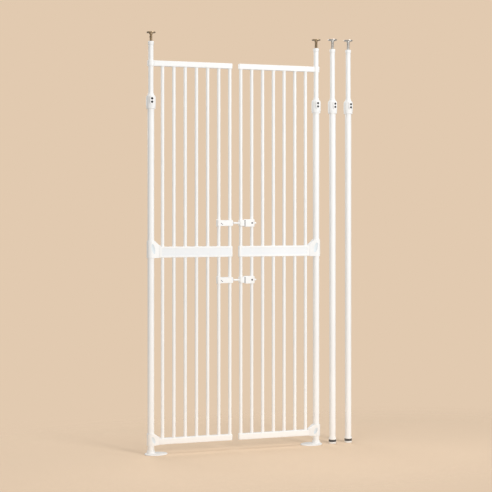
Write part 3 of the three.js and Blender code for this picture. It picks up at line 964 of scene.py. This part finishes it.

# ---- Jacks of the spare posts ----------------------------------------------------------------
# Here the screw is riveted to its pad, and the whole jack is run in or out by hand. Same thread
# and rubber disc; the zinc plate is a plain bright grey, without the painted sand reflection of
# the gate jacks.

bright_zinc = plated_metal("bright_zinc_plate", (0.6, 0.58, 0.55), (0.5, 0.48, 0.45), (0.3, 0.45))
spare_low, spare_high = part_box("spare_1_jack")
spare_hub = spare_high.z - (pad_high.z - pad_low.z)
spare_screw = threaded("jack_pattern", spare_low.z, spare_hub + 0.0012)
spare_pad = spun("pad_pattern", pad_profile(spare_hub, spare_high.z, (0.003, 0.001)), 72)
spare_disc = grip_disc("disc_pattern", spare_high.z)
for pattern, finish, degrees in (
    (spare_screw, bright_zinc, 40),
    (spare_pad, bright_zinc, 30),
    (spare_disc, grip_rubber, 30),
):
    smoothed(coated(pattern, finish), degrees)
for number, x in enumerate(spare_x, 1):
    piece = fitted(spare_pad, f"spare_{number}_pressed_pad", x)
    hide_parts(f"spare_{number}_jack")
    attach(piece, f"spare_{number}_top")
    for pattern, label in ((spare_screw, "threaded_jack"), (spare_disc, "pad_rubber")):
        extra = fitted(pattern, f"spare_{number}_{label}", x)
        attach(extra, f"spare_{number}_top")
for pattern in (spare_screw, spare_pad, spare_disc):
    bpy.data.objects.remove(pattern)

# ---- Door rails ------------------------------------------------------------------------------
# Rectangular steel tube with soft corners, welded across the seven bars of each leaf: one at the
# top, with the ring that turns on the post, a deep one with a sunk panel whose cooler tone is
# painted shade, one at the bottom. Powder coated with the bars; a white plastic plug closes each
# free end.

bar_x = [middle_of(f"left_door_bar_{number}") - left_x for number in range(1, 8)]
rail_boxes = {place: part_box(f"left_door_{place}_rail") for place in ("top", "middle", "bottom")}
rail_half_depth = (rail_boxes["bottom"][1].y - rail_boxes["bottom"][0].y) / 2
plug_length = 0.003


def rail_blank(name, start, end, low, high, corner, steps=5):
    """A length of rail from start to end, measured from the post's axis."""
    outline = rounded(-rail_half_depth, low, rail_half_depth, high, corner, steps)
    return block(name, [(start, y, z) for y, z in outline], (end - start, 0, 0))


def selected_faces(piece, wanted):
    """Selects the faces whose centre and normal pass the test, and goes to edit mode."""
    picked(piece)
    bpy.ops.object.mode_set(mode="EDIT")
    bpy.ops.mesh.select_mode(type="FACE")
    bpy.ops.mesh.select_all(action="DESELECT")
    bpy.ops.object.mode_set(mode="OBJECT")
    for face in piece.data.polygons:
        face.select = bool(wanted(face.center, face.normal))
    bpy.ops.object.mode_set(mode="EDIT")


def end_plug(name, end, low, high, corner):
    """The plug in a rail's free end: a thin rounded lid, set in by a hair all round."""
    hair = 0.0003
    reach = rail_half_depth - hair
    outline = rounded(-reach, low + hair, reach, high - hair, corner)
    lid = block(name, [(end - plug_length, y, z) for y, z in outline], (plug_length, 0, 0))
    selected_faces(lid, lambda centre, normal: normal.x > 0.9)
    bpy.ops.mesh.bevel(offset=0.0016, segments=4, affect="EDGES")
    bpy.ops.object.mode_set(mode="OBJECT")
    return smoothed(coated(lid, white_resin), 40)


def placed_rail(pattern, plug, place):
    """Puts a finished rail and its plug on both leaves."""
    for side, x, turn in gate_sides:
        piece = fitted(pattern, f"{side}_{place}_rail", x, 0, turn)
        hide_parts(f"{side}_door_{place}_rail")
        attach(piece, side + "_door")
        lid = fitted(plug, f"{side}_{place}_rail_plug", x, 0, turn)
        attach(lid, side + "_door")
    bpy.data.objects.remove(pattern)
    bpy.data.objects.remove(plug)


def lined(tool, *finishes):
    """Gives a cutting tool the body's finishes, so that its cut takes the second one."""
    coated(tool, *finishes)
    tool.data.polygons.foreach_set("material_index", [1] * len(tool.data.polygons))
    return tool


rail_end = rail_boxes["top"][1].x - left_x
rail_stop = rail_end - plug_length
rail_corner = 0.0028
ring_radius = left_x - rail_boxes["top"][0].x
ring_low = rail_boxes["top"][0].z
ring_high = rail_boxes["top"][1].z
top_low = ring_low + 0.001
top_high = ring_high - 0.001
ring_bore = upper_radius + fit_gap
top_start = ring_radius - 0.003
top_rail = rail_blank("top_pattern", top_start, rail_stop, top_low, top_high, rail_corner)
ring = spun(
    "ring_tool",
    [
        (0, ring_low),
        (ring_radius - 0.0014, ring_low),
        (ring_radius - 0.0004, ring_low + 0.0004),
        (ring_radius, ring_low + 0.0014),
        (ring_radius, ring_high - 0.0014),
        (ring_radius - 0.0004, ring_high - 0.0004),
        (ring_radius - 0.0014, ring_high),
        (0, ring_high),
    ],
    64,
)
combined(top_rail, ring, "UNION")
bored(top_rail, ring_bore, ring_low - overshoot, ring_high + overshoot, 48)
smoothed(coated(top_rail, powder_coat), 35, flats=True)
top_plug = end_plug("plug_pattern", rail_end, top_low, top_high, rail_corner)
placed_rail(top_rail, top_plug, "top")

middle_low = rail_boxes["middle"][0].z
middle_high = rail_boxes["middle"][1].z
middle_start = rail_boxes["middle"][0].x - left_x
panel_depth = 0.0014
middle_rail = rail_blank(
    "middle_pattern", middle_start, rail_stop, middle_low, middle_high, rail_corner
)
# Painted shade: the sunk panel's faces take this cooler, darker coat in place of the shade in the
# recess.
panel_shade_coat = finish_material(
    "panel_painted_shade_coat", (0.87, 0.885, 0.895), (0.835, 0.852, 0.865), (0.45, 0.55), 480, 0.0002
)
coated(middle_rail, powder_coat, panel_shade_coat)
panel = rounded(
    middle_start + 0.011, middle_low + 0.008, rail_end - 0.009, middle_high - 0.008, 0.004
)
panel_floor = rail_half_depth - panel_depth
panel_past = rail_half_depth + 0.004
for front, back in ((-panel_past, -panel_floor), (panel_floor, panel_past)):
    tool = lined(front_block("panel_tool", panel, front, back), powder_coat, panel_shade_coat)
    combined(middle_rail, tool, "DIFFERENCE")
middle_z = (middle_low + middle_high) / 2
spot_radius = 0.006
spot_depth = 0.0006
for x in bar_x[:-1]:
    for facing in (-1, 1):
        bpy.ops.object.select_all(action="DESELECT")
        bpy.ops.mesh.primitive_uv_sphere_add(
            segments=20,
            ring_count=10,
            radius=spot_radius,
            location=(x, facing * (panel_floor + spot_radius - spot_depth), middle_z),
        )
        combined(middle_rail, bpy.context.object, "DIFFERENCE")
bevelled(middle_rail, 0.0005, 2, 50)
smoothed(middle_rail, 24, flats=True)
middle_plug = end_plug("plug_pattern", rail_end, middle_low, middle_high, rail_corner)
placed_rail(middle_rail, middle_plug, "middle")

bottom_low = rail_boxes["bottom"][0].z
bottom_high = rail_boxes["bottom"][1].z
soft_corner = 0.0045
bottom_rail = rail_blank(
    "bottom_pattern", middle_start, rail_stop, bottom_low, bottom_high, soft_corner, 7
)
smoothed(coated(bottom_rail, powder_coat), 35, flats=True)
bottom_plug = end_plug("plug_pattern", rail_end, bottom_low, bottom_high, soft_corner)
placed_rail(bottom_rail, bottom_plug, "bottom")

# ---- Bars ------------------------------------------------------------------------------------
# Seven round steel tubes to a leaf, 16 mm across. They run from the bottom rail through the
# middle one to the top one, and a small weld bead runs round each at every rail.

first_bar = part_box("left_door_bar_1")
bar_low = first_bar[0].z
bar_high = first_bar[1].z
bar_radius = 0.008
bead_length = 0.0035
bead_curve = (
    (0.0016, -0.0006),
    (0.0015, 0.0002),
    (0.0011, 0.0007),
    (0.0005, 0.0013),
    (0.0001, 0.0021),
)


def weld_bead(height, away):
    """Profile of a bead against a rail's face at a height; away is 1 going up, -1 going down."""
    bead = [(bar_radius + out, height + away * up) for out, up in bead_curve]
    bead.append((bar_radius, height + away * bead_length))
    return bead if away > 0 else bead[::-1]


bar_profile = [(0, bar_low), (bar_radius, bar_low)]
bar_profile += weld_bead(bottom_high, 1) + weld_bead(middle_low, -1)
bar_profile += weld_bead(middle_high, 1) + weld_bead(top_low, -1)
bar_profile += [(bar_radius, bar_high), (0, bar_high)]
bar = spun("bar_pattern", bar_profile, 36)
smoothed(coated(bar, powder_coat), 40)
for side, x, turn in gate_sides:
    for number, across in enumerate(bar_x, 1):
        place = x + across if side == "left" else x - across
        piece = fitted(bar, f"{side}_round_bar_{number}", place, 0, turn)
        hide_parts(f"{side}_door_bar_{number}")
        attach(piece, side + "_door")
bpy.data.objects.remove(bar)

# ---- Hinge brackets --------------------------------------------------------------------------
# Moulded brackets that carry each leaf: a ring turns on the post's lower tube, and a nearly
# straight gusset slopes down over the rail, its foot resting on the rail's top. A leaning oval
# dimple is moulded in each face; its inside takes a cooler tint, which is painted shade.

hinge_ring = left_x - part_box("left_door_middle_hinge")[0].x
hinge_bore = lower_radius + fit_gap
web_end = middle_start - fit_gap
lip_rise = 0.0018
# Painted shade: the dimples' faces take this cooler, darker tint in place of the shade in them.
dimple_shade_resin = finish_material(
    "dimple_painted_shade_plastic", (0.76, 0.82, 0.85), (0.7, 0.76, 0.8), (0.45, 0.55), 1500, 0.00015
)


def curve(start, control, end, steps):
    """Points of a smooth arc from start to end, pulled towards the control point."""
    points = []
    for step in range(1, steps + 1):
        t = step / steps
        first, pull, last = (1 - t) ** 2, 2 * t * (1 - t), t * t
        legs = zip(start, control, end)
        points.append(tuple(first * s + pull * c + last * e for s, c, e in legs))
    return points


def hinge_bracket(name, node, rail_low, rail_high, dimple):
    """A bracket for one rail; dimple is (across, up, half width, half height, lean)."""
    low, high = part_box(node)
    lip_end = high.x - left_x - 0.0002
    ring_top = high.z
    rail_top = rail_high + fit_gap
    reach = hinge_ring + 0.002
    side = [(-reach, low.z), (hinge_ring, low.z), (web_end, rail_low)]
    side += [(web_end, rail_top), (lip_end, rail_top), (lip_end, rail_top + lip_rise)]
    side += curve(
        (lip_end, rail_top + lip_rise),
        (lip_end - 0.011, rail_top + (ring_top - rail_top) * 0.3),
        (hinge_ring - 0.005, ring_top),
        14,
    )
    side.append((-reach, ring_top))
    bracket = front_block(name, side, -reach, reach)
    start = math.acos((hinge_ring - rail_half_depth) / web_end)
    plan = [(lip_end + 0.002, -rail_half_depth), (lip_end + 0.002, rail_half_depth)]
    plan.append((web_end, rail_half_depth))
    arc_steps = 32
    for step in range(arc_steps + 1):
        angle = start + (math.tau - 2 * start) * step / arc_steps
        plan.append((hinge_ring * math.cos(angle), hinge_ring * math.sin(angle)))
    plan.append((web_end, -rail_half_depth))
    height = ring_top - low.z + 0.004
    outline = [(x, y, low.z - 0.002) for x, y in plan]
    combined(bracket, block("plan_tool", outline, (0, 0, height)), "INTERSECT")
    bevelled(bracket, 0.0009, 3, 35)
    bored(bracket, hinge_bore, low.z - overshoot, ring_top + overshoot, 56)
    coated(bracket, white_resin, dimple_shade_resin)
    across, up, half_width, half_height, lean = dimple
    surface = hinge_ring + (rail_half_depth - hinge_ring) * across / web_end
    centre = (rail_low + rail_high) / 2 + up
    for facing in (-1, 1):
        bpy.ops.object.select_all(action="DESELECT")
        bpy.ops.mesh.primitive_uv_sphere_add(
            segments=40,
            ring_count=24,
            radius=1,
            location=(across, facing * (surface + 0.0034), centre),
            rotation=(0, -math.radians(lean), 0),
            scale=(half_width, 0.005, half_height),
        )
        # Painted shade: the lens lines its cut with the cooler tint.
        lens = lined(bpy.context.object, white_resin, dimple_shade_resin)
        combined(bracket, lens, "DIFFERENCE")
    return smoothed(bracket, 34, flats=True)


for place, rail_low, rail_high, dimple in (
    ("middle", middle_low, middle_high, (0.0115, 0.0115, 0.0108, 0.0305, 17)),
    ("bottom", bottom_low, bottom_high, (0.0125, 0.006, 0.0095, 0.0215, 28)),
):
    node = f"left_door_{place}_hinge"
    bracket = hinge_bracket("bracket_pattern", node, rail_low, rail_high, dimple)
    for side, x, turn in gate_sides:
        piece = fitted(bracket, f"{side}_{place}_hinge_bracket", x, 0, turn)
        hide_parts(f"{side}_door_{place}_hinge")
        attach(piece, side + "_door")
    bpy.data.objects.remove(bracket)

# ---- Latch keepers and housings --------------------------------------------------------------
# Moulded bodies above and below the middle rail, in two halves screwed together round two bars.
# The keeper, on the left leaf, takes the bolt's end; the housing, on the right leaf, guides it.
# The slanted groove in the one and the slit in the other are lined with black, which is painted
# shade.

inner_left = middle_of("left_door_bar_7")
outer_left = middle_of("left_door_bar_6")
inner_right = middle_of("right_door_bar_7")
outer_right = middle_of("right_door_bar_6")
keeper_low, keeper_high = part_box("upper_latch_keeper")
housing_low, housing_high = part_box("upper_latch_housing")
bolt_low, bolt_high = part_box("upper_latch_bolt")
body_front = keeper_low.y
body_back = keeper_high.y
bolt_radius = (bolt_high.z - bolt_low.z) / 2
bolt_y = (bolt_high.y + bolt_low.y) / 2
latch_z = (bolt_high.z + bolt_low.z) / 2
low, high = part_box("lower_latch_bolt")
latch_heights = (("upper", latch_z), ("lower", (low.z + high.z) / 2))


def clamp_body(name, left, right, half, lug_left, lug_right, lug_half):
    """A latch body: a low block and a taller lug, edges rounded, drawn at z = 0."""
    low_block = front_block(name, rounded(left, -half, right, half, 0.004), body_front, body_back)
    bevelled(low_block, 0.0011, 3, 50)
    lug_outline = rounded(lug_left, -lug_half, lug_right, lug_half, 0.0042)
    lug = front_block("lug_tool", lug_outline, body_front, body_back)
    bevelled(lug, 0.0014, 3, 50)
    combined(low_block, lug, "UNION")
    # The second finish is the black that lines the groove and slit as painted shade.
    return coated(low_block, white_resin, black_rubber_and_slit_shade)


def slot_cut(body, centre, size, turn=0, dark=False):
    """Cuts a straight slot or seam out of a body; a dark one is lined with black as painted shade.
    """
    bpy.ops.object.select_all(action="DESELECT")
    bpy.ops.mesh.primitive_cube_add(size=1, location=centre, rotation=(0, turn, 0), scale=size)
    tool = bpy.context.object
    if dark:
        lined(tool, white_resin, black_rubber_and_slit_shade)
    return combined(body, tool, "DIFFERENCE")


def seam(body, left, right, half):
    """The hairline where the two clamp halves meet, over one stretch of the body."""
    for up in (-1, 1):
        slot_cut(body, ((left + right) / 2, 0, up * half), (right - left, 0.0005, 0.0012))


def bar_and_screw_holes(body, bars, screws):
    """The ways through a body for its two bars, and the counterbores of its rear screws."""
    for x in bars:
        round_cut(body, (x, 0, 0), bar_radius + fit_gap, 0.06, "z")
    for x in screws:
        round_cut(body, (x, body_back, 0), 0.0034, 0.0044, "y")


screw_inset = 0.0135
lug_inset = 0.0068
keeper_half = 0.014
keeper_lug_half = (keeper_high.z - keeper_low.z) / 2
keeper_lug_right = keeper_low.x + 0.013
keeper = clamp_body(
    "keeper_pattern",
    keeper_low.x,
    keeper_high.x,
    keeper_half,
    keeper_low.x,
    keeper_lug_right,
    keeper_lug_half,
)
seam(keeper, keeper_lug_right + 0.0005, keeper_high.x - 0.001, keeper_half)
seam(keeper, keeper_low.x + 0.001, keeper_lug_right - 0.001, keeper_lug_half)
keeper_screws = (outer_left + screw_inset, inner_left - screw_inset)
bar_and_screw_holes(keeper, (outer_left, inner_left), keeper_screws)
round_cut(keeper, (keeper_high.x, bolt_y, 0), bolt_radius + 0.0006, 0.076, "x", 36)
groove_size = (0.011, 0.007, 0.0026)
groove_place = (outer_left + 0.0095, body_front, -0.0035)
# Painted shade: the slanted groove is lined black.
slot_cut(keeper, groove_place, groove_size, math.radians(40), dark=True)
slot_cut(keeper, (keeper_lug_right + 0.0022, body_front, 0), (0.0012, 0.0014, 0.018))

housing_half = 0.0145
housing_lug_half = (housing_high.z - housing_low.z) / 2
slit_left = housing_low.x + 0.022
slit_width = 0.0036
slit_depth = bolt_y - bolt_radius - 0.0004 - body_front
housing = clamp_body(
    "housing_pattern",
    housing_low.x,
    housing_high.x,
    housing_half,
    slit_left + slit_width,
    housing_high.x,
    housing_lug_half,
)
seam(housing, housing_low.x + 0.001, slit_left - 0.0002, housing_half)
seam(housing, slit_left + slit_width + 0.001, housing_high.x - 0.001, housing_lug_half)
# Painted shade: the slit is lined black.
slot_cut(
    housing,
    (slit_left + slit_width / 2, body_front - 0.001 + slit_depth / 2, 0),
    (slit_width, slit_depth, 0.05),
    dark=True,
)
notch_depth = 0.004
bpy.ops.object.select_all(action="DESELECT")
bpy.ops.mesh.primitive_cube_add(
    size=2 * notch_depth * math.sqrt(2),
    location=(housing_high.x, body_front, 0),
    rotation=(0, 0, math.pi / 4),
    scale=(1, 1, 6),
)
combined(housing, bpy.context.object, "DIFFERENCE")
housing_screws = (inner_right + lug_inset, outer_right - screw_inset)
bar_and_screw_holes(housing, (inner_right, outer_right), housing_screws)
middle_x = (housing_low.x + housing_high.x) / 2
round_cut(housing, (middle_x, bolt_y, 0), bolt_radius + fit_gap, 0.1, "x", 36)
stop_x = outer_right - 0.005
round_cut(housing, (stop_x, body_front, 0), 0.0042, 0.005, "y", 28)

for pattern, word, leaf in ((keeper, "keeper", "left_door"), (housing, "housing", "right_door")):
    smoothed(pattern, 34, flats=True)
    for place, height in latch_heights:
        piece = fitted(pattern, f"{place}_{word}_clamp", 0, height)
        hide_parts(f"{place}_latch_{word}")
        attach(piece, leaf)
    bpy.data.objects.remove(pattern)

# ---- Screws of the latches -------------------------------------------------------------------
# Small steel screws: a black stop screw in front of each housing and two zinc-plated ones that
# pull each clamp together from behind, all with cross recesses and sunk in counterbores.


def cross_screw(name, radius, depth):
    """A low domed screw head facing the back of the gate, with a cross cut in it."""
    head = spun(
        name,
        [
            (0, -depth),
            (radius, -depth),
            (radius, -0.0009),
            (radius * 0.94, -0.0006),
            (radius * 0.7, -0.0003),
            (radius * 0.35, -0.0001),
            (0, -0.0001),
        ],
        32,
    )
    for wide, tall in ((radius * 1.2, radius * 0.28), (radius * 0.28, radius * 1.2)):
        slot_cut(head, (0, 0, 0), (wide, tall, 0.0018))
    return moved(head, turn=(-math.pi / 2, 0, 0))


clamp_screw = cross_screw("clamp_screw_pattern", 0.0031, 0.0019)
moved(clamp_screw, (0, body_back - 0.0002, 0))
smoothed(coated(clamp_screw, bright_zinc), 30)
stop_screw = cross_screw("stop_screw_pattern", 0.0039, 0.0018)
moved(stop_screw, (0, body_front + 0.0003, 0), (0, 0, math.pi))
smoothed(coated(stop_screw, black_oxide), 30)
rear_screws = (
    ("left_door", "keeper_outer", keeper_screws[0]),
    ("left_door", "keeper_inner", keeper_screws[1]),
    ("right_door", "housing_inner", housing_screws[0]),
    ("right_door", "housing_outer", housing_screws[1]),
)
for place, height in latch_heights:
    for leaf, label, x in rear_screws:
        piece = fitted(clamp_screw, f"{place}_{label}_screw", x, height)
        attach(piece, leaf)
    piece = fitted(stop_screw, f"{place}_stop_screw", stop_x, height)
    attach(piece, "right_door")
bpy.data.objects.remove(clamp_screw)
bpy.data.objects.remove(stop_screw)

# ---- Latch bolts -----------------------------------------------------------------------------
# White powder-coated steel rod, 10 mm across, that slides through the housing into the keeper.
# Its tip is chamfered and its tail tapers to a grooved end to pull it back by.

bolt_length = bolt_high.x - bolt_low.x
bolt = spun(
    "bolt_pattern",
    [
        (0, 0),
        (bolt_radius - 0.002, 0),
        (bolt_radius - 0.0013, 0.0003),
        (bolt_radius - 0.0002, 0.0014),
        (bolt_radius, 0.0022),
        (bolt_radius, bolt_length - 0.0112),
        (bolt_radius - 0.0002, bolt_length - 0.0105),
        (bolt_radius - 0.0012, bolt_length - 0.0095),
        (bolt_radius - 0.0014, bolt_length - 0.0086),
        (bolt_radius - 0.0012, bolt_length - 0.0077),
        (bolt_radius - 0.0002, bolt_length - 0.0068),
        (bolt_radius, bolt_length - 0.006),
        (bolt_radius, bolt_length - 0.0042),
        (bolt_radius - 0.0006, bolt_length - 0.0024),
        (bolt_radius - 0.0016, bolt_length - 0.0009),
        (bolt_radius - 0.0028, bolt_length - 0.0001),
        (0, bolt_length),
    ],
    40,
)
moved(bolt, (bolt_low.x, bolt_y, 0), (0, math.pi / 2, 0))
smoothed(coated(bolt, powder_coat), 35)
for place, height in latch_heights:
    piece = fitted(bolt, place + "_sliding_bolt", 0, height)
    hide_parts(place + "_latch_bolt")
    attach(piece, place + "_bolt")
bpy.data.objects.remove(bolt)
